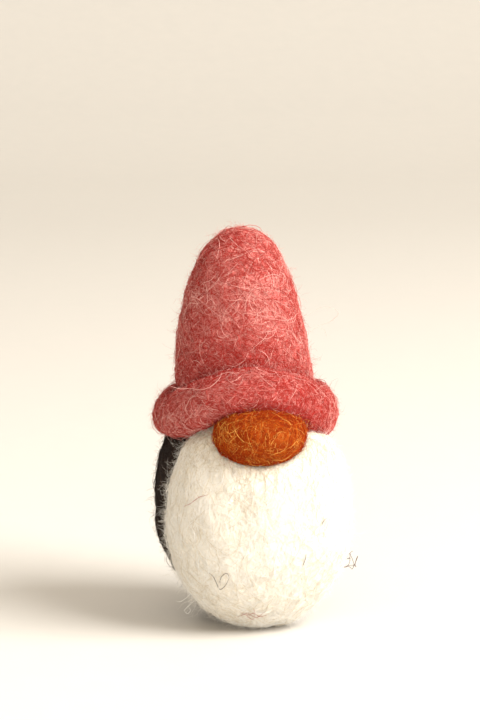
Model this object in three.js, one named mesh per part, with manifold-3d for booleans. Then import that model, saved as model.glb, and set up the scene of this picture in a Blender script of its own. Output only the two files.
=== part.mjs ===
// A needle-felted wool gnome: a dark wool body round a core of plain wool, a white beard, an
// ochre nose, and a pink hat with a rolled brim that pulls off the head.
//
// Millimetres, +Z up. The gnome stands on z = 0 and faces -Y. The pieces are laid out about the
// body's upright axis, and the finished gnome is then moved so that the origin is under its middle.

import * as THREE from "three";
import { mergeVertices } from "three/addons/utils/BufferGeometryUtils.js";
import Module from "manifold-3d";

const wasm = await Module();
wasm.setup();

// ---------------------------------------------------------------- driving sizes

const GAP = 0.3; // between pieces that touch
const ROUND = 32; // faces round an upright piece

const BASE_RADIUS = 5.2; // of the flat that the gnome stands on
const BODY_HEIGHT = 36.8; // to the top of the head, inside the hat
const WRAP = 2.0; // thickness of the dark wool over the core
const CROWN_OF_HEAD = 3.4; // radius of the bare patch on the head, where the core shows

// The beard is an egg that gets wider near its top, by the share `fuller`.
const BEARD = { x: 0.85, front: 8.2, z: 15.1, wide: 12.9, deep: 9.4, tall: 15.15, fuller: 0.37 };
const NOSE = { x: 0.25, front: 13.4, z: 28.25, wide: 6.3, deep: 4.8, tall: 4.15 };

const HAT_FOOT = 29.5; // level of the crown's mouth, before the brim lifts it at the front
const HAT_TOP = 55;
const HAT_RADIUS = 9.6; // of the crown's mouth
const BLUNT = 0.92; // power of the crown's outline, where 1 is an ellipse and less is blunter
const FELT = 1.7; // thickness of the crown's wall
const LEAN = 0.6; // how far the crown leans to the left

// The brim is a roll: its section is `thick` and `tall` from its middle. Towards the left it is
// less tall by `slimmer`, its middle is `higher`, and its outer side hangs lower by `droop`.
const BRIM = {
  radius: 10,
  z: 29.1,
  thick: 2.85,
  tall: 3.55,
  slimmer: 0.85,
  higher: 0.35,
  droop: 1.1,
};
// Over the nose the brim rises, stands further out, and is thicker and less tall. The arch is
// highest at the angle `at`, and its upper side reaches further round than its underside.
const ARCH = {
  at: rad(-3),
  rise: 4.7,
  out: 2,
  thicker: 1,
  shorter: 0.2,
  under: rad(62),
  over: rad(88),
};

// ---------------------------------------------------------------- small tools

function rad(degrees) {
  return (degrees * Math.PI) / 180;
}

// 1 at the top of the brim's arch, falling smoothly to 0 at the angle `reach` on either side.
function arched(angle, reach) {
  const away = Math.abs(angle - ARCH.at);
  return away < reach ? 0.5 + 0.5 * Math.cos((Math.PI * away) / reach) : 0;
}

// The angle of a point round the upright axis, from the front towards +X.
function angleOf(p) {
  return Math.atan2(p.x, -p.y);
}

// A smooth outline through [radius, height] points, as Vector2s.
function smooth(points, steps) {
  return new THREE.SplineCurve(points.map(([r, z]) => new THREE.Vector2(r, z))).getPoints(steps);
}

// An outline moved outwards by a distance, with its corners kept and its ends on the axis.
function grown(outline, by) {
  const facing = (a, b) => new THREE.Vector2(b.y - a.y, a.x - b.x).normalize();
  return outline.map((p, i) => {
    if (i === 0) return new THREE.Vector2(0, p.y - by);
    if (i === outline.length - 1) return new THREE.Vector2(0, p.y + by);
    const before = facing(outline[i - 1], p);
    const out = before.clone().add(facing(p, outline[i + 1])).normalize();
    return p.clone().addScaledVector(out, by / out.dot(before));
  });
}

// A blunt quarter ellipse from its widest level up to its top, which is on the axis.
function dome(radius, foot, top, steps) {
  return Array.from({ length: steps + 1 }, (_, i) => {
    const a = (i / steps) * (Math.PI / 2);
    const across = i === steps ? 0 : Math.cos(a) ** BLUNT;
    return new THREE.Vector2(radius * across, foot + (top - foot) * Math.sin(a));
  });
}

// A profile turned about the upright axis. It runs up the outside, so its faces point out.
function turned(profile, faces = ROUND) {
  return new THREE.LatheGeometry(profile, faces).rotateX(Math.PI / 2);
}

// An egg with the given half sizes, its middle at x, -front, z.
function egg({ x, front, z, wide, deep, tall }, extra = 0, across = 28, up = 18) {
  return new THREE.SphereGeometry(1, across, up)
    .rotateX(Math.PI / 2)
    .scale(wide + extra, deep + extra, tall + extra)
    .translate(x, -front, z);
}

// Every vertex of a geometry moved by a function of its place.
function bent(geometry, move) {
  const places = geometry.getAttribute("position");
  const p = new THREE.Vector3();
  for (let i = 0; i < places.count; i++) {
    move(p.fromBufferAttribute(places, i));
    places.setXYZ(i, p.x, p.y, p.z);
  }
  return geometry;
}

// A closed geometry as a solid that can be cut.
function solid(geometry) {
  geometry.deleteAttribute("normal");
  geometry.deleteAttribute("uv");
  const merged = mergeVertices(geometry, 1e-4);
  return new wasm.Manifold(
    new wasm.Mesh({
      numProp: 3,
      vertProperties: merged.getAttribute("position").array,
      triVerts: new Uint32Array(merged.index.array),
    }),
  );
}

// The largest body of a solid, so that a cut leaves no crumbs.
function largest(cut) {
  return cut.decompose().reduce((a, b) => (b.volume() > a.volume() ? b : a));
}

// A solid as a named mesh of one wool.
function piece(name, made, material) {
  const { vertProperties, triVerts } = made.getMesh();
  const geometry = new THREE.BufferGeometry()
    .setAttribute("position", new THREE.BufferAttribute(vertProperties, 3))
    .setIndex(new THREE.BufferAttribute(triVerts, 1));
  geometry.computeVertexNormals();
  const mesh = new THREE.Mesh(geometry, material);
  mesh.name = name;
  return mesh;
}

function wool(colour) {
  return new THREE.MeshStandardMaterial({ color: colour, roughness: 0.95, metalness: 0 });
}

// ---------------------------------------------------------------- wools

const darkWool = wool(0x3a2a24);
const whiteWool = wool(0xf1e8d8);
const ochreWool = wool(0xb5581f);
const pinkWool = wool(0xcb625a);
const coreWool = wool(0xe6dcc8);

// ---------------------------------------------------------------- body

// Up the side of the body, from the edge of its base to the top of the head.
const side = smooth(
  [
    [BASE_RADIUS, 0],
    [8.1, 4.2],
    [11.1, 8.7],
    [12.4, 13.2],
    [12.6, 17.4],
    [12.1, 22.0],
    [11.0, 25.8],
    [8.6, 29.2],
    [7.2, 32.0],
    [5.0, 35.0],
    [0, BODY_HEIGHT],
  ],
  18,
);
const bodyOutline = [new THREE.Vector2(0, 0), ...side];
const bodyWithGap = solid(turned(grown(bodyOutline, GAP)));

function bodyCore() {
  return solid(turned(grown(bodyOutline, -WRAP - GAP), 26));
}

// The dark layer covers the core all over but for the crown of the head.
function bodyWrap() {
  const belowPatch = (p) => p.y < BODY_HEIGHT / 2 || p.x >= CROWN_OF_HEAD;
  const outside = bodyOutline.filter(belowPatch);
  const inside = grown(bodyOutline, -WRAP).filter(belowPatch).reverse();
  return solid(turned([...outside, ...inside]));
}

// ---------------------------------------------------------------- hat

// One point of the brim's roll. `across` and `up` run from -1 to 1 over its section.
function brimPoint(p, angle, across, up, extra) {
  const wide = arched(angle, ARCH.over);
  const lift = arched(angle, THREE.MathUtils.mapLinear(up, -1, 1, ARCH.under, ARCH.over));
  const left = 0.5 - 0.5 * Math.sin(angle);
  const tall = BRIM.tall - BRIM.slimmer * left - ARCH.shorter * wide + extra;
  const thick = BRIM.thick + ARCH.thicker * wide + extra;
  const radius = BRIM.radius + ARCH.out * wide + thick * across;
  const middle = BRIM.z + BRIM.higher * left + ARCH.rise * lift;
  const level = middle + tall * up - BRIM.droop * left * across;
  p.set(radius * Math.sin(angle), -radius * Math.cos(angle), level);
}

// The whole roll, before the body presses into it.
function roll(extra) {
  const ring = new THREE.TorusGeometry(2, 1, 12, 42);
  const move = (p) => brimPoint(p, angleOf(p), Math.hypot(p.x, p.y) - 2, p.z, extra);
  return solid(bent(ring, move));
}

function hatBrim() {
  return largest(roll(0).subtract(bodyWithGap));
}

// The crown leans to one side, and its mouth rises at the front where the brim does.
function onCrown(p) {
  const height = (p.z - HAT_FOOT) / (HAT_TOP - HAT_FOOT);
  const low = Math.max(0, 1 - height);
  p.z += ARCH.rise * arched(angleOf(p), ARCH.over) * low ** 3;
  p.x -= LEAN * THREE.MathUtils.smoothstep(height, 0, 0.6);
}

function hatCrown() {
  const outside = dome(HAT_RADIUS, HAT_FOOT, HAT_TOP, 12);
  const inside = dome(HAT_RADIUS - FELT, HAT_FOOT, HAT_TOP - 1.4 * FELT, 10).reverse();
  const shell = turned([...outside, ...inside, outside[0]]);
  return largest(solid(bent(shell, onCrown)).subtract(roll(GAP)).subtract(bodyWithGap));
}

// A wad of plain wool that fills the hat above the head and keeps its tip up.
function hatStuffing() {
  const foot = HAT_FOOT + 4.2;
  const shape = dome(HAT_RADIUS - FELT - GAP, HAT_FOOT, HAT_TOP - 1.4 * FELT - GAP, 9);
  const above = shape.filter((p) => p.y > foot);
  const wad = turned([new THREE.Vector2(0, foot), new THREE.Vector2(above[0].x, foot), ...above], 26);
  return largest(solid(bent(wad, onCrown)).subtract(bodyWithGap).subtract(roll(GAP)));
}

// ---------------------------------------------------------------- face

// The brim presses a little into the top of the nose.
function nose() {
  return largest(solid(egg(NOSE)).subtract(bodyWithGap).subtract(roll(GAP)));
}

// The beard hugs the body, has a hollow where the nose sits, and is flat where it meets the table.
function beard() {
  const pad = bent(egg(BEARD), (p) => {
    const height = Math.max(0, (p.z - BEARD.z) / BEARD.tall);
    p.x += (p.x - BEARD.x) * BEARD.fuller * height ** 3;
  });
  const table = new THREE.BoxGeometry(60, 60, 10).translate(0, 0, -5);
  return largest(
    solid(pad)
      .subtract(bodyWithGap)
      .subtract(solid(egg(NOSE, GAP)))
      .subtract(roll(GAP))
      .subtract(solid(table)),
  );
}

// ---------------------------------------------------------------- assembly

const figure = new THREE.Group();
figure.add(
  piece("body_core", bodyCore(), coreWool),
  piece("body_wrap", bodyWrap(), darkWool),
  piece("beard", beard(), whiteWool),
  piece("nose", nose(), ochreWool),
);

const hat = new THREE.Group();
hat.add(
  piece("hat_crown", hatCrown(), pinkWool),
  piece("hat_brim", hatBrim(), pinkWool),
  piece("hat_stuffing", hatStuffing(), coreWool),
);

const gnome = new THREE.Group();
gnome.add(figure, hat);

// The origin is under the middle of the whole gnome, not under the middle of the body.
const middle = new THREE.Box3().setFromObject(gnome).getCenter(new THREE.Vector3());
gnome.position.set(-middle.x, -middle.y, 0);

export default gnome;
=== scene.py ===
"""Gives a needle-felted gnome its looks: the felted wool pieces, the fibres that lie on them, and
a plain pale studio. Laid out as an add-on and run as a script."""

import math

import bpy
import numpy as np
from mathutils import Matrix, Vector, noise
from mathutils.bvhtree import BVHTree


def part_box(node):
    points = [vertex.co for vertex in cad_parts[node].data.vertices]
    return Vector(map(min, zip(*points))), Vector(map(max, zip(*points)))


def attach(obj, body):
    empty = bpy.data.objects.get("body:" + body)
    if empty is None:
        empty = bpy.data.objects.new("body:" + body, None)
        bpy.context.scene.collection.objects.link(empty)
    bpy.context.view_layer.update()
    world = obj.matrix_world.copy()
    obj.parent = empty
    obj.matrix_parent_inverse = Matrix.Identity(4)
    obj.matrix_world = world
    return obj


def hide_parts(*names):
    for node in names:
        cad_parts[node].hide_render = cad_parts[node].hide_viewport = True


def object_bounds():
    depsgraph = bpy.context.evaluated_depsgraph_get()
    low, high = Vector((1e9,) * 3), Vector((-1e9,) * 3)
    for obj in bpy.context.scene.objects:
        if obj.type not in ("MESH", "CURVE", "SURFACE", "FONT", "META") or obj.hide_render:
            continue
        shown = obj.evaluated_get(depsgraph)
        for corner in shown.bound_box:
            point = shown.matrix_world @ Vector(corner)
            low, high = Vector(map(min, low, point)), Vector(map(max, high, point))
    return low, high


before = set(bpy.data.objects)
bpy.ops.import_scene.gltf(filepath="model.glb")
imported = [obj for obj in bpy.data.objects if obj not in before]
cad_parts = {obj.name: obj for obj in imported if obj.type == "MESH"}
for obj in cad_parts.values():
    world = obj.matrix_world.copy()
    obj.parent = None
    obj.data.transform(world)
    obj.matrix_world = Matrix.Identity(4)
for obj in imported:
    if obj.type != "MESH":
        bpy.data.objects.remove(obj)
CAD_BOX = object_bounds()

bl_info = {
    "name": "Felted Gnome",
    "version": (1, 0, 0),
    "blender": (4, 5, 0),
    "location": "View3D > Sidebar > Gnome",
    "description": "Felts a small wool gnome with a hat that lifts off",
    "category": "Object",
}

MM = 0.001
FIGURE, HAT = "figure", "hat"
FIBRE_POINTS = 7  # along each fibre
FIBRE_SIDES = 3  # of each fibre's section
WISP_POINTS = 4  # along each wisp of fuzz
STRAND_POINTS = 40  # along each stray strand
# The shade in the folds between pieces is painted into the wool's colour, and this is how far it
# spreads.
FOLD_SHADE_REACH = 1.4 * MM  # how far the shade of a fold spreads

# The upright axis of the body, which the hat and the brim are built round too.
BODY_LOW, BODY_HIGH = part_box("body_wrap")
AXIS_X = (BODY_LOW[0] + BODY_HIGH[0]) / 2
AXIS_Y = (BODY_LOW[1] + BODY_HIGH[1]) / 2


# ---------------------------------------------------------------- properties


class GnomeFelt(bpy.types.PropertyGroup):
    """How the wool is felted, and the fibres that lie on it."""

    grain: bpy.props.FloatProperty(
        name="Grain",
        description="Length of the edges that each felt piece is remeshed with",
        default=0.42 * MM,
        unit="LENGTH",
        precision=5,
    )
    swell: bpy.props.FloatProperty(
        name="Swell",
        description="How far the springy wool may swell out of its plain shape",
        default=0.16 * MM,
        unit="LENGTH",
        precision=5,
    )
    lump_size: bpy.props.FloatProperty(
        name="Lump Size",
        description="Width of the soft lumps that handwork leaves",
        default=4.5 * MM,
        unit="LENGTH",
        precision=5,
    )
    lump_height: bpy.props.FloatProperty(
        name="Lump Height",
        description="Height of the lumps from dip to top",
        default=0.75 * MM,
        unit="LENGTH",
        precision=5,
    )
    mark_spacing: bpy.props.FloatProperty(
        name="Needle Mark Spacing",
        description="Distance between the dimples that the felting needle leaves",
        default=1.5 * MM,
        unit="LENGTH",
        precision=5,
    )
    mark_depth: bpy.props.FloatProperty(
        name="Needle Mark Depth",
        description="Depth of the needle's dimples",
        default=0.2 * MM,
        unit="LENGTH",
        precision=5,
    )
    fibre_width: bpy.props.FloatProperty(
        name="Fibre Width",
        description="Thickness of a single fibre in its middle",
        default=0.056 * MM,
        unit="LENGTH",
        precision=6,
    )
    fibre_length: bpy.props.FloatProperty(
        name="Fibre Length",
        description="Length of a usual fibre",
        default=4.2 * MM,
        unit="LENGTH",
        precision=5,
    )


def colour_property(name, description, default):
    return bpy.props.FloatVectorProperty(
        name=name, description=description, default=default, subtype="COLOR", min=0, max=1
    )


class GnomeWools(bpy.types.PropertyGroup):
    """The colours of the wools, each where it lies thickest."""

    pink: colour_property("Hat", "Dyed wool of the hat", (0.50, 0.066, 0.054))
    ochre: colour_property("Nose", "Dyed wool of the nose", (0.36, 0.042, 0.003))
    white: colour_property("Beard", "Bleached wool of the beard", (0.93, 0.88, 0.78))
    dark: colour_property("Body", "Natural dark wool of the body", (0.018, 0.009, 0.006))
    core: colour_property("Core", "Undyed wool inside the body and the hat", (0.76, 0.66, 0.50))


class GnomeStudio(bpy.types.PropertyGroup):
    """Where the camera stands, and the light on the gnome."""

    azimuth: bpy.props.FloatProperty(
        name="Azimuth",
        description="Angle of the camera round the gnome, from its front",
        default=math.radians(-8),
        subtype="ANGLE",
    )
    elevation: bpy.props.FloatProperty(
        name="Elevation",
        description="Angle of the camera above the table",
        default=math.radians(10),
        subtype="ANGLE",
    )
    distance: bpy.props.FloatProperty(
        name="Distance",
        description="Distance from the camera to the gnome",
        default=0.45,
        unit="LENGTH",
    )
    view_height: bpy.props.FloatProperty(
        name="View Height",
        description="Height of the view at the gnome's distance",
        default=101.3 * MM,
        unit="LENGTH",
        precision=4,
    )
    key_power: bpy.props.FloatProperty(
        name="Key Light",
        description="Power of the big soft light on the right, in watts",
        default=8.0,
        min=0,
    )
    fill_power: bpy.props.FloatProperty(
        name="Fill Light",
        description="Power of the low soft light in front, in watts",
        default=2.6,
        min=0,
    )
    surroundings: bpy.props.FloatProperty(
        name="Surroundings",
        description="Strength of the even light from all round",
        default=0.73,
        min=0,
    )


# ---------------------------------------------------------------- shader expressions


class Link:
    """An output socket that takes part in arithmetic, where each operator adds its Math node."""

    def __init__(self, shader, socket):
        self.shader = shader
        self.socket = socket

    def math(self, operation, first, second=0.0):
        return self.shader.node("ShaderNodeMath", {"operation": operation}, {0: first, 1: second})

    def __add__(self, other):
        return self.math("ADD", self, other)

    def __sub__(self, other):
        return self.math("SUBTRACT", self, other)

    def __rsub__(self, other):
        return self.math("SUBTRACT", other, self)

    def __mul__(self, other):
        return self.math("MULTIPLY", self, other)

    def __abs__(self):
        return self.math("ABSOLUTE", self)

    def at_least(self, other):
        return self.math("MAXIMUM", self, other)

    __radd__ = __add__
    __rmul__ = __mul__


class Shader:
    """A material whose node tree is built by expressions."""

    def __init__(self, name):
        self.material = bpy.data.materials.new(name)
        self.material.use_nodes = True
        self.tree = self.material.node_tree
        self.surface = self.tree.nodes["Principled BSDF"]

    def node(self, kind, settings=None, inputs=None, output=0, stops=()):
        """Adds a node and returns one of its outputs. Its settings and a ramp's stops are set
        first, then the values or links of its sockets."""
        made = self.tree.nodes.new(kind)
        for key, value in (settings or {}).items():
            setattr(made, key, value)
        for element, (position, value) in zip(ramp_elements(made, len(stops)), stops):
            element.position = position
            element.color = (value, value, value, 1)
        self.feed(made, inputs or {})
        return Link(self, made.outputs[output])

    def feed(self, node, inputs):
        for key, value in inputs.items():
            if isinstance(value, Link):
                self.tree.links.new(value.socket, node.inputs[key])
            else:
                node.inputs[key].default_value = value

    def mix(self, factor, first, second):
        """A colour between two colours."""
        return self.node(
            "ShaderNodeMix",
            {"data_type": "RGBA"},
            {"Factor": factor, 6: opaque(first), 7: opaque(second)},
            output=2,
        )

    def noise(self, place, scale, detail=2.0, output="Fac"):
        """A cloudy pattern, finer for a larger scale."""
        return self.node(
            "ShaderNodeTexNoise",
            {},
            {"Vector": place, "Scale": scale, "Detail": detail},
            output=output,
        )

    def finish(self, **values):
        """Sets or links the surface's sockets, whose names are given with _ for a space."""
        self.feed(self.surface, {key.replace("_", " "): value for key, value in values.items()})
        return self.material


def ramp_elements(node, count):
    """The stops of a colour ramp, as many as asked for."""
    if not count:
        return ()
    elements = node.color_ramp.elements
    while len(elements) < count:
        elements.new(1)
    return elements


def opaque(colour):
    return colour if isinstance(colour, Link) else (*colour[:3], 1)


def shade(colour, by, towards=(1, 1, 1)):
    """A colour moved part of the way to another one."""
    return tuple(c + (t - c) * by for c, t in zip(colour, towards))


def darker(colour, by):
    """A colour times a power of itself, so that it darkens and keeps its hue."""
    return tuple(c ** (1 + by) for c in colour)


# ---------------------------------------------------------------- wool materials


def wandering(shader, place, per_mm, shift, thinness):
    """Thin curving lines, bright where a noise crosses its middle, as single fibres lie."""
    moved = shader.node(
        "ShaderNodeVectorMath", {"operation": "ADD"}, {0: place, 1: (shift, -shift, 2 * shift)}
    )
    field = shader.noise(moved, per_mm, detail=1.0)
    return (1 - abs(field - 0.5) * thinness).at_least(0)


def felt_material(name, colour, pale, contrast=0.5, sheen=0.3, shine=0.2):
    """Matted wool: blotches of two depths of dye, and paler strands that wander over them. Painted
    shade darkens it in the folds where the piece meets its neighbours.
    """
    shader = Shader(name)
    place = shader.node("ShaderNodeTexCoord", output="Object")
    in_mm = shader.node(
        "ShaderNodeVectorMath", {"operation": "SCALE"}, {0: place, "Scale": 1 / MM}
    )
    drift = shader.noise(in_mm, 0.45, detail=2.0, output="Color")
    warped = shader.node(
        "ShaderNodeVectorMath",
        {"operation": "MULTIPLY_ADD"},
        {0: drift, 1: (5, 5, 5), 2: in_mm},
    )
    strands = wandering(shader, warped, 1.3, 0, 16)
    for per_mm, shift in ((1.9, 3.1), (2.6, 7.7)):
        strands = strands.at_least(wandering(shader, warped, per_mm, shift, 13))
    blotch = shader.node(
        "ShaderNodeValToRGB",
        {},
        {"Fac": shader.noise(in_mm, 0.33, detail=4.0)},
        stops=((0.36, 0), (0.64, 1)),
    )
    fuzz = shader.noise(warped, 6.0, detail=3.0)
    # Painted shade: the stored fold amount darkens the colour where the piece lies close to a
    # neighbour.
    fold = shader.node("ShaderNodeAttribute", {"attribute_name": "fold"}, output="Fac")
    ground = shader.mix(blotch, darker(colour, contrast), colour)
    combed = shader.mix(strands * 0.55, ground, pale)
    fuzzy = shader.mix(fuzz * 0.3, combed, shade(colour, 0.35, pale))
    relief = shader.node(
        "ShaderNodeBump",
        {},
        {"Strength": 0.5, "Distance": 0.09 * MM, "Height": strands + fuzz * 0.7},
    )
    return shader.finish(
        # The base colour darkens in the folds as painted shade.
        Base_Color=shader.mix(fold * 0.85, fuzzy, darker(colour, 0.7)),
        Roughness=0.92 - strands * 0.14,
        Normal=relief,
        Specular_IOR_Level=shine,
        Sheen_Weight=sheen,
        Sheen_Roughness=0.6,
        Sheen_Tint=opaque(shade(colour, 0.6, pale)),
    )


def fibre_materials(name, colours):
    """Plain shades, one for each fibre. The wool's pattern comes from many fibres together."""
    return [
        Shader(f"{name}_{i}").finish(
            Base_Color=opaque(colour), Roughness=0.7, Specular_IOR_Level=0.1
        )
        for i, colour in enumerate(colours)
    ]


# ---------------------------------------------------------------- felt pieces


def select_only(piece):
    bpy.ops.object.select_all(action="DESELECT")
    piece.select_set(True)
    bpy.context.view_layer.objects.active = piece


def apply_modifier(piece, kind, **settings):
    """Adds one modifier, sets it up and applies it."""
    select_only(piece)
    modifier = piece.modifiers.new(kind.lower(), kind)
    for key, value in settings.items():
        setattr(modifier, key, value)
    bpy.ops.object.modifier_apply(modifier=modifier.name)


def points_of(piece):
    flat = np.empty(len(piece.data.vertices) * 3)
    piece.data.vertices.foreach_get("co", flat)
    return flat.reshape(-1, 3)


def rest_on_table(piece):
    """Flattens what would hang below the table top."""
    points = points_of(piece)
    points[:, 2] = np.maximum(points[:, 2], 0)
    piece.data.vertices.foreach_set("co", points.ravel())
    piece.data.update()


def copy_of_node(node, name):
    """A new piece with a CAD node's shape, its loose triangles joined."""
    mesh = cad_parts[node].data.copy()
    mesh.name = name
    mesh.materials.clear()
    piece = bpy.data.objects.new(name, mesh)
    bpy.context.collection.objects.link(piece)
    select_only(piece)
    bpy.ops.object.mode_set(mode="EDIT")
    bpy.ops.mesh.select_all(action="SELECT")
    bpy.ops.mesh.remove_doubles(threshold=0.001 * MM)
    bpy.ops.object.mode_set(mode="OBJECT")
    return piece


def swell(piece, most):
    """Lets the stuffed wool swell as a cushion does, with each point's move kept short."""
    scene = bpy.context.scene
    before = points_of(piece)
    select_only(piece)
    cloth = piece.modifiers.new("cloth", "CLOTH")
    cloth.settings.use_pressure = True
    cloth.settings.uniform_pressure_force = 4
    cloth.settings.effector_weights.gravity = 0
    for step in range(1, 21):
        scene.frame_set(step)
    bpy.ops.object.modifier_apply(modifier=cloth.name)
    scene.frame_set(1)
    move = points_of(piece) - before
    far = np.linalg.norm(move, axis=1, keepdims=True)
    move *= np.minimum(1, most / np.maximum(far, 1e-9))
    piece.data.vertices.foreach_set("co", (before + move).ravel())
    piece.data.update()


def roughen(piece, texture_kind, size, height, stops=()):
    """Pushes the surface in and out by a pattern that fills space."""
    texture = bpy.data.textures.new(f"{piece.name}_{texture_kind.lower()}", texture_kind)
    texture.noise_scale = size
    if stops:
        texture.use_color_ramp = True
        elements = texture.color_ramp.elements
        for element, (position, value) in zip(elements, stops):
            element.position = position
            element.color = (value, value, value, 1)
    apply_modifier(piece, "DISPLACE", texture=texture, strength=height, mid_level=0.5)


def felted(context, node, name, body, material, coarse=1.0, lumps=1.0, marks=1.0):
    """Turns a CAD node into felt: remeshed, swollen, smoothed, lumpy and marked by the needle."""
    felt = context.scene.gnome_felt
    piece = copy_of_node(node, name)
    apply_modifier(piece, "REMESH", mode="VOXEL", voxel_size=felt.grain * coarse)
    swell(piece, felt.swell)
    apply_modifier(piece, "SMOOTH", factor=0.5, iterations=6)
    roughen(piece, "CLOUDS", felt.lump_size, felt.lump_height * lumps)
    apply_modifier(piece, "SUBSURF", levels=1, render_levels=1)
    small_lumps = 0.18 * felt.lump_height
    roughen(piece, "CLOUDS", felt.lump_size / 5, small_lumps)
    mark = felt.mark_depth * marks
    roughen(piece, "VORONOI", felt.mark_spacing, mark, ((0.0, 0), (0.34, 1)))
    rest_on_table(piece)
    select_only(piece)
    bpy.ops.object.shade_smooth()
    piece.data.materials.append(material)
    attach(piece, body)
    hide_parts(node)


# ---------------------------------------------------------------- fibres


def unit(vectors):
    return vectors / np.maximum(np.linalg.norm(vectors, axis=-1, keepdims=True), 1e-12)


def along_surface(vectors, normals):
    """Vectors with their part along the normals taken out, one unit long."""
    return unit(vectors - normals * (vectors * normals).sum(-1, keepdims=True))


class Surface:
    """A felt piece as something that fibres can be laid on."""

    def __init__(self, piece):
        self.piece = piece
        mesh = piece.data
        mesh.calc_loop_triangles()
        corners = np.empty(len(mesh.loop_triangles) * 3, dtype=np.int64)
        mesh.loop_triangles.foreach_get("vertices", corners)
        points = points_of(piece)
        self.corners = points[corners.reshape(-1, 3)]
        edges = np.cross(
            self.corners[:, 1] - self.corners[:, 0], self.corners[:, 2] - self.corners[:, 0]
        )
        self.areas = np.linalg.norm(edges, axis=1)
        self.normals = unit(edges)
        self.tree = BVHTree.FromPolygons(points.tolist(), corners.reshape(-1, 3).tolist())

    def scatter(self, count, rng, weigh):
        """Random places on the surface and their normals, by area times a weight."""
        middles = self.corners.mean(axis=1)
        chance = self.areas * weigh(middles, self.normals)
        picked = rng.choice(len(chance), size=count, p=chance / chance.sum())
        shares = rng.dirichlet((1, 1, 1), size=count)
        places = (self.corners[picked] * shares[:, :, None]).sum(axis=1)
        return places, self.normals[picked]

    def settle(self, places):
        """The nearest points of the surface, and its normals there."""
        found = [self.tree.find_nearest(place) for place in places.tolist()]
        both = np.array([(*place, *normal) for place, normal, _, _ in found])
        return both[:, :3], both[:, 3:]


def fold_shade_amount(places, neighbours):
    """How deep places lie in the folds between a felt piece and its neighbours, from 0 to 1. It
    sets how much shade is painted there.
    """
    places = places.tolist()
    gaps = [[beside.tree.find_nearest(place)[3] for place in places] for beside in neighbours]
    return np.exp(-np.min(gaps, axis=0) / FOLD_SHADE_REACH)


def paint_fold_shade(surface, neighbours):
    """Stores how deep each point lies in a fold, for the wool's material to paint shade there."""
    fold = surface.piece.data.attributes.new("fold", "FLOAT", "POINT")
    fold.data.foreach_set("value", fold_shade_amount(points_of(surface.piece), neighbours))


def from_axis(places):
    """Unit vectors from the body's upright axis to places."""
    out = places - np.array((AXIS_X, AXIS_Y, 0))
    out[:, 2] = 0
    return unit(out)


def outside(places, normals):
    """Weight 1 where a surface faces away from the upright axis or up, and 0 inside a shell."""
    facing = (from_axis(places) * normals).sum(-1)
    return (facing > -0.25) | (normals[:, 2] > 0.5)


def front(places, normals):
    """Weight 1 where a surface doesn't face the body behind it."""
    return normals[:, 1] < 0.45


def bare_head(places, normals):
    """Weight 1 on the crown of the head, which the dark wool leaves bare."""
    return (places[:, 2] > BODY_HIGH[2] - 3 * MM) & (normals[:, 2] > 0)


def left_edge(places, normals):
    """Weight 1 on the side of the beard where its wisps stray over the dark body."""
    return (normals[:, 0] < -0.45) & (normals[:, 1] < 0.45)


def anyhow(places, normals, headings):
    return headings


def round_axis(places, normals, headings):
    """The way round the upright axis, kept on the side that a fibre already heads to."""
    way = np.cross((0, 0, 1), from_axis(places))
    return way * np.sign((way * headings).sum(-1, keepdims=True))


def downwards(places, normals, headings):
    """Down the surface, or up it for a fibre that already heads up."""
    way = np.broadcast_to((0.0, 0.0, -1.0), places.shape)
    return way * np.sign((way * headings).sum(-1, keepdims=True))


def round_point(centre, axis):
    """Rings round a line through a point, as wool is wound into a ball."""

    def way(places, normals, headings):
        ring = unit(np.cross(axis, places - centre))
        return ring * np.sign((ring * headings).sum(-1, keepdims=True))

    return way


def lay(surface, starts, normals, lengths, curls, flow, follow, rng):
    """Walks fibres over a surface. Each turns steadily by its own curl, drawn to the flow."""
    headings = along_surface(rng.normal(size=starts.shape), normals)
    headings = along_surface(headings + 2 * follow * flow(starts, normals, headings), normals)
    steps = lengths[:, None] / (FIBRE_POINTS - 1)
    places, paths, ups = starts, [starts], [normals]
    for _ in range(FIBRE_POINTS - 1):
        turns = (curls + rng.normal(0, 0.22, len(curls)))[:, None]
        headings = headings * np.cos(turns) + np.cross(normals, headings) * np.sin(turns)
        headings = headings + follow * flow(places, normals, headings)
        ahead = places + along_surface(headings, normals) * steps
        places, normals = surface.settle(ahead)
        headings = along_surface(headings, normals)
        paths.append(places)
        ups.append(normals)
    return np.stack(paths, axis=1), np.stack(ups, axis=1)


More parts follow.
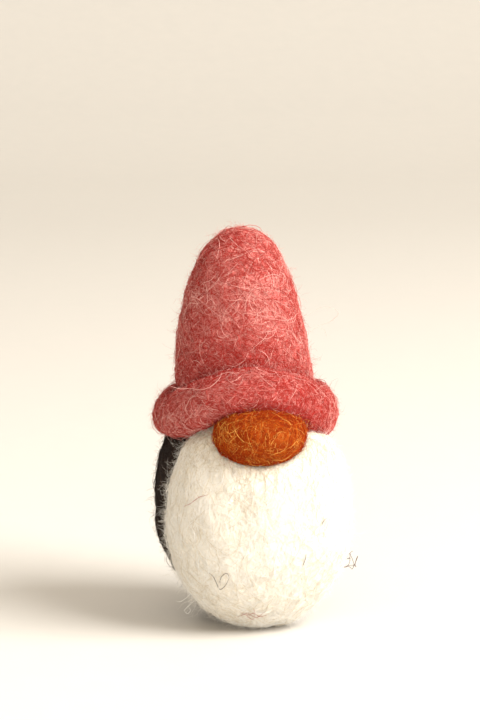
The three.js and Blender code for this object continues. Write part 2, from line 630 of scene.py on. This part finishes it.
def tube_mesh(name, paths, ups, radii, shades):
    """One mesh of closed three-sided tubes, with a ring of points at each point of each path."""
    count, points = radii.shape
    ahead = unit(np.gradient(paths, axis=1))
    across = unit(np.cross(ups, ahead))
    out = np.cross(ahead, across)
    turns = np.arange(FIBRE_SIDES) * 2 * math.pi / FIBRE_SIDES
    rings = (
        across[:, :, None] * np.cos(turns)[:, None] + out[:, :, None] * np.sin(turns)[:, None]
    )
    vertices = paths[:, :, None] + rings * radii[:, :, None, None]
    vertices[..., 2] = np.maximum(vertices[..., 2], 0)

    ring, side = np.meshgrid(np.arange(points - 1), np.arange(FIBRE_SIDES), indexing="ij")
    corner = (ring * FIBRE_SIDES + side).ravel()
    beside = (ring * FIBRE_SIDES + (side + 1) % FIBRE_SIDES).ravel()
    walls = np.stack([corner, beside, beside + FIBRE_SIDES, corner + FIBRE_SIDES], axis=1)
    last = (points - 1) * FIBRE_SIDES
    ends = np.concatenate([np.arange(FIBRE_SIDES)[::-1], last + np.arange(FIBRE_SIDES)])
    one = np.concatenate([walls.ravel(), ends])
    sizes = np.concatenate([np.full(len(walls), 4), np.full(2, FIBRE_SIDES)])

    loops = (one + np.arange(count)[:, None] * points * FIBRE_SIDES).ravel()
    totals = np.tile(sizes, count)
    starts = np.concatenate([[0], np.cumsum(totals)[:-1]])
    mesh = bpy.data.meshes.new(name)
    mesh.vertices.add(vertices.size // 3)
    mesh.vertices.foreach_set("co", vertices.ravel())
    mesh.loops.add(len(loops))
    mesh.loops.foreach_set("vertex_index", loops)
    mesh.polygons.add(len(totals))
    mesh.polygons.foreach_set("loop_start", starts)
    mesh.polygons.foreach_set("loop_total", totals)
    mesh.polygons.foreach_set("material_index", np.repeat(shades, len(sizes)))
    mesh.polygons.foreach_set("use_smooth", np.ones(len(totals), dtype=bool))
    mesh.update(calc_edges=True)
    return mesh


def fibre_piece(name, paths, ups, widths, shades, materials, body):
    """A piece of many fibres that thin out towards both ends."""
    t = np.linspace(0, 1, paths.shape[1])
    taper = np.clip(1.15 * np.sin(math.pi * t) ** 0.5, 0.3, 1)
    mesh = tube_mesh(name, paths, ups, widths[:, None] / 2 * taper, shades)
    piece = bpy.data.objects.new(name, mesh)
    bpy.context.collection.objects.link(piece)
    for material in materials:
        mesh.materials.append(material)
    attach(piece, body)


def shade_numbers(places, fold_shading, count, rarity, rng, size=3.2 * MM):
    """Which shade each fibre has, from the deepest to the palest. The shades gather in patches
    and are mixed within them. They are deeper in the folds as painted shade, and pale ones can
    be made rare."""
    patch = np.array([noise.noise(Vector(place) / size) for place in places.tolist()])
    # Painted shade: fibres near a neighbouring piece take deeper shades.
    value = 0.5 + 0.5 * patch + rng.normal(0, 0.24, len(places)) - 0.6 * fold_shading
    return np.clip(np.clip(value, 0, 1) ** rarity * count, 0, count - 1).astype(int)


def coat(context, name, surface, count, materials, body, wool, seed, **habit):
    """Lays a coat of fibres on a felt piece. `habit` says how they lie: weigh, flow, follow,
    curl, length, width, lift (how far the middles stand proud), rarity (of the palest shade) and
    neighbours (the pieces that it meets in a fold, where its fibres take deeper shades as painted
    shade)."""
    settings = context.scene.gnome_felt
    rng = np.random.default_rng(seed)
    starts, normals = surface.scatter(count, rng, habit.get("weigh", outside))
    lengths = settings.fibre_length * habit.get("length", 1) * rng.lognormal(0, 0.28, count)
    curls = habit.get("curl", 0.4) * rng.normal(0, 1, count)
    flow = habit.get("flow", anyhow)
    paths, ups = lay(surface, starts, normals, lengths, curls, flow, habit.get("follow", 0), rng)

    t = np.linspace(0, 1, FIBRE_POINTS)
    widths = settings.fibre_width * habit.get("width", 1) * rng.lognormal(0, 0.2, count)
    lifts = habit.get("lift", 0.08) * MM * rng.exponential(1, count)
    heights = widths[:, None] * 0.3 + lifts[:, None] * np.sin(math.pi * t)
    paths = paths + ups * heights[:, :, None]
    # Painted shade: how deep each fibre's start lies in a fold.
    fold_shading = fold_shade_amount(starts, habit["neighbours"])
    shades = shade_numbers(starts, fold_shading, len(materials), habit.get("rarity", 1.25), rng)
    fibre_piece(name, paths, ups, widths, shades, materials, body)


def fuzz(context, name, surface, count, materials, body, wool, seed, **habit):
    """Fine wisps that start on a felt piece and curl away into the air. `habit` has weigh,
    length, width, rise (how steeply they leave) and lean (a way that they all tend to)."""
    settings = context.scene.gnome_felt
    rng = np.random.default_rng(seed)
    starts, normals = surface.scatter(count, rng, habit.get("weigh", outside))
    steps = habit.get("length", 1.1) * MM * rng.lognormal(0, 0.4, (count, 1)) / (WISP_POINTS - 1)
    headings = along_surface(rng.normal(size=starts.shape) + habit.get("lean", 0), normals)
    headings = unit(headings + normals * habit.get("rise", 1.1) * rng.random((count, 1)))
    bends = rng.normal(0, 0.85, starts.shape)
    places, paths = starts, [starts]
    for _ in range(WISP_POINTS - 1):
        places = places + headings * steps
        headings = unit(headings + np.cross(bends, headings) + rng.normal(0, 0.15, starts.shape))
        paths.append(places)
    paths = np.stack(paths, axis=1)
    ups = np.repeat(normals[:, None], WISP_POINTS, axis=1)
    widths = settings.fibre_width * habit.get("width", 0.4) * rng.lognormal(0, 0.2, count)
    shades = rng.integers(0, len(materials), count)
    fibre_piece(name, paths, ups, widths, shades, materials, body)


# ---------------------------------------------------------------- stray strands


def on_front(surface, x, z, off):
    """A point that lies off the front of a surface, or beside its edge where it isn't behind."""
    hit, normal = surface.tree.ray_cast((x, -0.1, z), (0, 1, 0))[:2]
    if hit is None:
        beside = surface.tree.find_nearest((x, AXIS_Y - 8 * MM, z))[0]
        return (x, beside.y, z)
    return tuple(hit + normal * off)


def thread(surface, points, off=0.2):
    """A smooth path through [x, z] points in millimetres, laid on the front of a surface."""
    t = np.linspace(0, 1, len(points))
    s = np.linspace(0, 1, STRAND_POINTS)
    flat = np.stack([np.interp(s, t, column) for column in np.array(points, float).T], axis=1)
    for _ in range(STRAND_POINTS // len(points)):
        flat[1:-1] = (flat[:-2] + 2 * flat[1:-1] + flat[2:]) / 4
    return [on_front(surface, x * MM, z * MM, off * MM) for x, z in flat]


def tangle(surface, centre, size, loops, rng):
    """A springy knot of one fibre that hangs on a surface, wound of several loops in space."""
    middle = np.array(on_front(surface, centre[0] * MM, centre[1] * MM, 0.4 * size * MM))
    t = np.linspace(0, 2 * math.pi, STRAND_POINTS)[:, None]
    knot = sum(
        np.cos(n * t + rng.uniform(0, 6, 3)) * rng.uniform(0.4, 1, 3) / n**0.5 for n in loops
    )
    return middle + knot * size * MM


def strand_piece(name, paths, width, material, body):
    """A piece of single strands, each one as thick as the given millimetres."""
    paths = np.array(paths)
    ups = np.broadcast_to((0.0, -1.0, 0.001), paths.shape)
    widths = np.full(len(paths), width * MM)
    shades = np.zeros(len(paths), dtype=int)
    fibre_piece(name, paths, ups, widths, shades, [material], body)


# ---------------------------------------------------------------- operators


class GNOME_OT_stage(bpy.types.Operator):
    """Sets up the pale table, the soft lights and the camera"""

    bl_idname = "gnome.stage"
    bl_label = "Stage"

    def execute(self, context):
        studio = context.scene.gnome_studio
        context.scene.view_settings.view_transform = "Standard"
        self.table()
        self.surroundings(context, studio.surroundings)
        middle = Vector((0, AXIS_Y, (CAD_BOX[0][2] + CAD_BOX[1][2]) / 2))
        size, pale, warm = 0.5, (1, 0.98, 0.95), (1, 0.93, 0.84)
        # The key stands high on the right, and the fill low in front.
        self.light("key", (0.42, -0.26, 0.42), size, studio.key_power, pale, middle)
        self.light("fill", (-0.12, -0.80, 0.16), size, studio.fill_power, warm, middle)
        self.camera(context, studio, middle)
        return {"FINISHED"}

    def table(self):
        """A table top that rolls up into a backdrop far behind."""
        width, front_edge, back_edge, height, radius = 3, -1.0, 0.8, 1.2, 0.3
        bpy.ops.object.select_all(action="DESELECT")
        bpy.ops.mesh.primitive_grid_add(
            x_subdivisions=1, y_subdivisions=40, size=1, location=(0, 0, 0)
        )
        table = bpy.context.object
        table.name = "table_top"
        flat = back_edge - radius - front_edge
        bend = radius * math.pi / 2
        total = flat + bend + height
        for vertex in table.data.vertices:
            run = (vertex.co.y + 0.5) * total
            angle = min(max(run - flat, 0) / radius, math.pi / 2)
            y = front_edge + min(run, flat) + radius * math.sin(angle)
            z = radius * (1 - math.cos(angle)) + max(run - flat - bend, 0)
            vertex.co = (vertex.co.x * width, y, z)
        bpy.ops.object.shade_smooth()
        shader = Shader("pale_table")
        place = shader.node("ShaderNodeTexCoord", output="Object")
        grain = shader.noise(place, 220.0, detail=3.0)
        table.data.materials.append(
            shader.finish(
                Base_Color=shader.mix(grain, (0.70, 0.675, 0.63), (0.74, 0.71, 0.66)),
                Roughness=0.42 + grain * 0.12,
            )
        )

    def surroundings(self, context, strength):
        """A warm even light from all round."""
        world = bpy.data.worlds.new("surroundings")
        world.use_nodes = True
        background = world.node_tree.nodes["Background"]
        background.inputs["Color"].default_value = (1, 0.90, 0.77, 1)
        background.inputs["Strength"].default_value = strength
        context.scene.world = world

    def light(self, name, place, size, power, colour, target):
        """A round soft light that faces the gnome."""
        data = bpy.data.lights.new(name, "AREA")
        data.shape = "DISK"
        data.size = size
        data.energy = power
        data.color = colour
        lamp = bpy.data.objects.new(name, data)
        bpy.context.collection.objects.link(lamp)
        lamp.location = place
        lamp.rotation_euler = (Vector(place) - target).to_track_quat("Z", "Y").to_euler()

    def camera(self, context, studio, middle):
        """The camera, which aims a little above and to the left of the gnome's middle."""
        turn, tilt = studio.azimuth, studio.elevation
        right = Vector((math.cos(turn), math.sin(turn), 0))
        back = Vector(
            (math.sin(turn) * math.cos(tilt), -math.cos(turn) * math.cos(tilt), math.sin(tilt))
        )
        up = back.cross(right)
        to_left, above = 1.1 * MM, 8.6 * MM
        aim = middle - right * to_left + up * above
        data = bpy.data.cameras.new("camera")
        data.sensor_width = 36
        data.lens = data.sensor_width * studio.distance / studio.view_height
        data.clip_start = 0.01
        camera = bpy.data.objects.new("camera", data)
        context.collection.objects.link(camera)
        camera.location = aim + back * studio.distance
        camera.rotation_euler = back.to_track_quat("Z", "Y").to_euler()
        context.scene.camera = camera


class GNOME_OT_body(bpy.types.Operator):
    """Felts the plain wool core and the dark wool round it"""

    bl_idname = "gnome.body"
    bl_label = "Body"

    def execute(self, context):
        wools = context.scene.gnome_wools
        core = felt_material("core_felt", wools.core, shade(wools.core, 0.5), 0.3)
        felted(context, "body_core", "core_ball", FIGURE, core, coarse=2.4)
        brown = shade(wools.dark, 0.04)
        dark = felt_material("dark_felt", wools.dark, brown, 0.25, sheen=0, shine=0.05)
        felted(context, "body_wrap", "body_felt", FIGURE, dark, coarse=1.7)
        return {"FINISHED"}


class GNOME_OT_beard(bpy.types.Operator):
    """Felts the round white beard"""

    bl_idname = "gnome.beard"
    bl_label = "Beard"

    def execute(self, context):
        wools = context.scene.gnome_wools
        white = felt_material("white_felt", wools.white, shade(wools.white, 0.6), 0.6)
        felted(context, "beard", "beard_felt", FIGURE, white, coarse=1.2, marks=0.5)
        return {"FINISHED"}


class GNOME_OT_nose(bpy.types.Operator):
    """Felts the ball nose"""

    bl_idname = "gnome.nose"
    bl_label = "Nose"

    def execute(self, context):
        wools = context.scene.gnome_wools
        ochre = felt_material("ochre_felt", wools.ochre, (0.60, 0.17, 0.015), 0.35, sheen=0.02)
        felted(context, "nose", "nose_felt", FIGURE, ochre, coarse=0.85, lumps=0.5)
        return {"FINISHED"}


class GNOME_OT_hat(bpy.types.Operator):
    """Felts the hat's crown and brim, and the loose wool inside its tip"""

    bl_idname = "gnome.hat"
    bl_label = "Hat"

    def execute(self, context):
        wools = context.scene.gnome_wools
        pink = felt_material("pink_felt", wools.pink, (0.86, 0.42, 0.38), 0.45)
        felted(context, "hat_crown", "crown_felt", HAT, pink, coarse=1.2)
        felted(context, "hat_brim", "brim_felt", HAT, pink, coarse=1.1)
        core = bpy.data.materials["core_felt"]
        felted(context, "hat_stuffing", "stuffing", HAT, core, coarse=2.4)
        return {"FINISHED"}


class GNOME_OT_fibres(bpy.types.Operator):
    """Lays the coats of single fibres on the felt"""

    bl_idname = "gnome.fibres"
    bl_label = "Fibres"

    def execute(self, context):
        wools = context.scene.gnome_wools
        pink = fibre_materials(
            "pink_fibre",
            (darker(wools.pink, 0.3), wools.pink, (0.66, 0.20, 0.175), (0.84, 0.45, 0.40)),
        )
        rust, gold, straw = (0.41, 0.050, 0.002), (0.55, 0.115, 0.008), (0.84, 0.42, 0.09)
        ochre = fibre_materials("ochre_fibre", (darker(wools.ochre, 0.15), rust, gold, straw))
        white = fibre_materials(
            "white_fibre",
            ((0.74, 0.65, 0.50), wools.white, (0.96, 0.93, 0.87), (0.98, 0.97, 0.93)),
        )
        dark = fibre_materials(
            "dark_fibre", (wools.dark, shade(wools.dark, 0.015), (0.07, 0.035, 0.022))
        )
        cream = fibre_materials(
            "core_fibre", (darker(wools.core, 0.4), wools.core, shade(wools.core, 0.4))
        )
        names = ("crown_felt", "brim_felt", "beard_felt", "nose_felt", "body_felt", "core_ball")
        surfaces = [Surface(bpy.data.objects[name]) for name in names]
        crown, brim, beard, nose, dark_body, core = surfaces
        meets = {
            crown: [brim],
            brim: [crown, nose],
            beard: [nose, brim],
            nose: [beard, brim],
            dark_body: [beard, brim],
            core: [dark_body],
        }
        # Painted shade: each felt piece is darkened where it meets its neighbours in a fold.
        for surface, neighbours in meets.items():
            paint_fold_shade(surface, neighbours)
        for part in range(2):
            coat(
                context, f"crown_fibres_{part}", crown, 4000, pink, HAT, "pink_wool",
                seed=10 + part, flow=round_axis, follow=0.08, neighbours=meets[crown],
            )
            coat(
                context, f"brim_fibres_{part}", brim, 3600, pink, HAT, "pink_wool",
                seed=20 + part, flow=round_axis, follow=0.12, neighbours=meets[brim],
            )
            coat(
                context, f"beard_fibres_{part}", beard, 4000, white, FIGURE, "white_wool",
                seed=30 + part, weigh=front, flow=downwards, follow=0.15, width=0.85,
                neighbours=meets[beard], rarity=0.9,
            )
        # The nose's wool is wound round a line through it that comes out a little to the right.
        low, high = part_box("nose")
        centre = np.array([(a + b) / 2 for a, b in zip(low, high)])
        centre[0] += 0.2 * (high[0] - centre[0])
        coat(
            context, "nose_fibres", nose, 3000, ochre, FIGURE, "ochre_wool",
            seed=40, weigh=front, flow=round_point(centre, (0.2, -1, 0.1)), follow=0.25,
            curl=0.45, length=0.9, width=0.85, neighbours=meets[nose], rarity=1.1,
        )
        coat(
            context, "body_fibres", dark_body, 3000, dark, FIGURE, "dark_wool",
            seed=50, flow=round_axis, follow=0.05, lift=0.1, neighbours=meets[dark_body],
        )
        coat(
            context, "core_fibres", core, 700, cream, FIGURE, "core_wool", seed=51,
            weigh=bare_head, neighbours=meets[core],
        )
        fuzz(context, "crown_fuzz", crown, 5000, pink[2:], HAT, "pink_wool", seed=60)
        fuzz(context, "brim_fuzz", brim, 4000, pink[2:], HAT, "pink_wool", seed=61)
        fuzz(
            context, "beard_fuzz", beard, 6000, white[1:], FIGURE, "white_wool", seed=62,
            weigh=front,
        )
        fuzz(context, "nose_fuzz", nose, 600, ochre[2:], FIGURE, "ochre_wool", seed=63, weigh=front)
        fuzz(context, "body_fuzz", dark_body, 4000, dark, FIGURE, "dark_wool", seed=64, width=0.5)
        fuzz(
            context, "beard_wisps", beard, 1700, white[1:], FIGURE, "white_wool", seed=65,
            weigh=left_edge, length=1.8, width=0.36, rise=0.7, lean=(-0.6, 0.5, -1),
        )
        return {"FINISHED"}


class GNOME_OT_strays(bpy.types.Operator):
    """Adds the single strands that strayed on to other wool, and the loops that stand off it.
    Their places are given as x and z in millimetres"""

    bl_idname = "gnome.strays"
    bl_label = "Stray Strands"

    def execute(self, context):
        rng = np.random.default_rng(70)
        beard = Surface(bpy.data.objects["beard_felt"])
        brim = Surface(bpy.data.objects["brim_felt"])
        crown = Surface(bpy.data.objects["crown_felt"])
        brown, red = fibre_materials("stray_fibre", ((0.10, 0.05, 0.035), (0.42, 0.12, 0.09)))
        white = bpy.data.materials["white_fibre_3"]
        pale_pink = bpy.data.materials["pink_fibre_3"]
        dark_paths = [
            thread(beard, [(-7.5, 9.6), (-6.8, 9), (-6.3, 7.8), (-5.9, 7), (-5.2, 7.8), (-4.8, 9)]),
            thread(beard, [(-4.8, 9), (-5, 9.6), (-5.3, 9.7), (-5.8, 9.1), (-6, 8.3), (-5.8, 7.7)]),
            thread(beard, [(5.6, 12.2), (5.5, 11.3), (5.1, 10.3)]),
            thread(beard, [(7.9, 15.9), (8.2, 16.5), (8.5, 16.8)]),
            tangle(beard, (13.5, 8.2), 0.95, (1, 2, 3), rng),
            tangle(beard, (12.9, 9.4), 0.8, (1, 3), rng),
            tangle(beard, (13.1, 8.6), 0.9, (1, 2), rng),
        ]
        red_paths = [
            thread(beard, [(-10.6, 18.3), (-9.7, 18.9), (-8.8, 19.9), (-7.5, 20.4)]),
            thread(beard, [(-3.1, 3.7), (-1.9, 2.9), (-1.3, 3.6), (-0.3, 2.8), (0.7, 3.1)]),
            thread(beard, [(-3.3, 2.8), (-2.1, 3.5), (-0.7, 2.5), (0.3, 3.7)]),
            tangle(beard, (-1.5, 3.4), 0.6, (1, 2), rng),
        ]
        white_paths = [
            thread(
                beard,
                [
                    (-8, 4.6), (-9, 3.6), (-9.6, 3.0), (-10.1, 2.4), (-9.6, 1.9), (-9.1, 2.5),
                    (-9.6, 3.1),
                ],
            ),
            thread(beard, [(-8.6, 5.6), (-9.6, 4.4), (-10.6, 3.7), (-11.2, 3.9)]),
        ]
        hat_paths = [
            thread(
                brim,
                [(-12.2, 34.3), (-10.6, 33.8), (-8.8, 33.9), (-7, 34.6), (-5.5, 35.8), (-4.4, 37)],
            ),
            thread(
                crown,
                [(7.6, 43.4), (9.4, 44.4), (11.4, 44.2), (12.2, 43.3), (11, 42.2), (9, 41.8)],
            ),
            thread(crown, [(7.8, 41), (9, 41.6), (10, 41.2), (10.3, 40.2)]),
        ]
        strand_piece("dark_strays", dark_paths, 0.085, brown, FIGURE)
        strand_piece("red_strays", red_paths, 0.08, red, FIGURE)
        strand_piece("white_strays", white_paths, 0.07, white, FIGURE)
        strand_piece("hat_strays", hat_paths, 0.07, pale_pink, HAT)
        return {"FINISHED"}


class GNOME_PT_panel(bpy.types.Panel):
    """Lists the steps that make the gnome, and the sizes and colours that they use"""

    bl_idname = "GNOME_PT_panel"
    bl_label = "Felted Gnome"
    bl_space_type = "VIEW_3D"
    bl_region_type = "UI"
    bl_category = "Gnome"

    def draw(self, context):
        for step in STEPS:
            self.layout.operator(step.bl_idname)
        for key, group in GROUPS.items():
            box = self.layout.box()
            for name in group.__annotations__:
                box.prop(getattr(context.scene, key), name)


# ---------------------------------------------------------------- registration

GROUPS = {"gnome_felt": GnomeFelt, "gnome_wools": GnomeWools, "gnome_studio": GnomeStudio}
STEPS = (
    GNOME_OT_stage,
    GNOME_OT_body,
    GNOME_OT_beard,
    GNOME_OT_nose,
    GNOME_OT_hat,
    GNOME_OT_fibres,
    GNOME_OT_strays,
)


def register():
    for cls in (*GROUPS.values(), *STEPS, GNOME_PT_panel):
        bpy.utils.register_class(cls)
    for name, group in GROUPS.items():
        setattr(bpy.types.Scene, name, bpy.props.PointerProperty(type=group))


def unregister():
    for name in GROUPS:
        delattr(bpy.types.Scene, name)
    for cls in reversed((*GROUPS.values(), *STEPS, GNOME_PT_panel)):
        bpy.utils.unregister_class(cls)


def main():
    register()
    bpy.ops.gnome.stage()
    bpy.ops.gnome.body()
    bpy.ops.gnome.beard()
    bpy.ops.gnome.nose()
    bpy.ops.gnome.hat()
    bpy.ops.gnome.fibres()
    bpy.ops.gnome.strays()


if __name__ == "__main__":
    main()
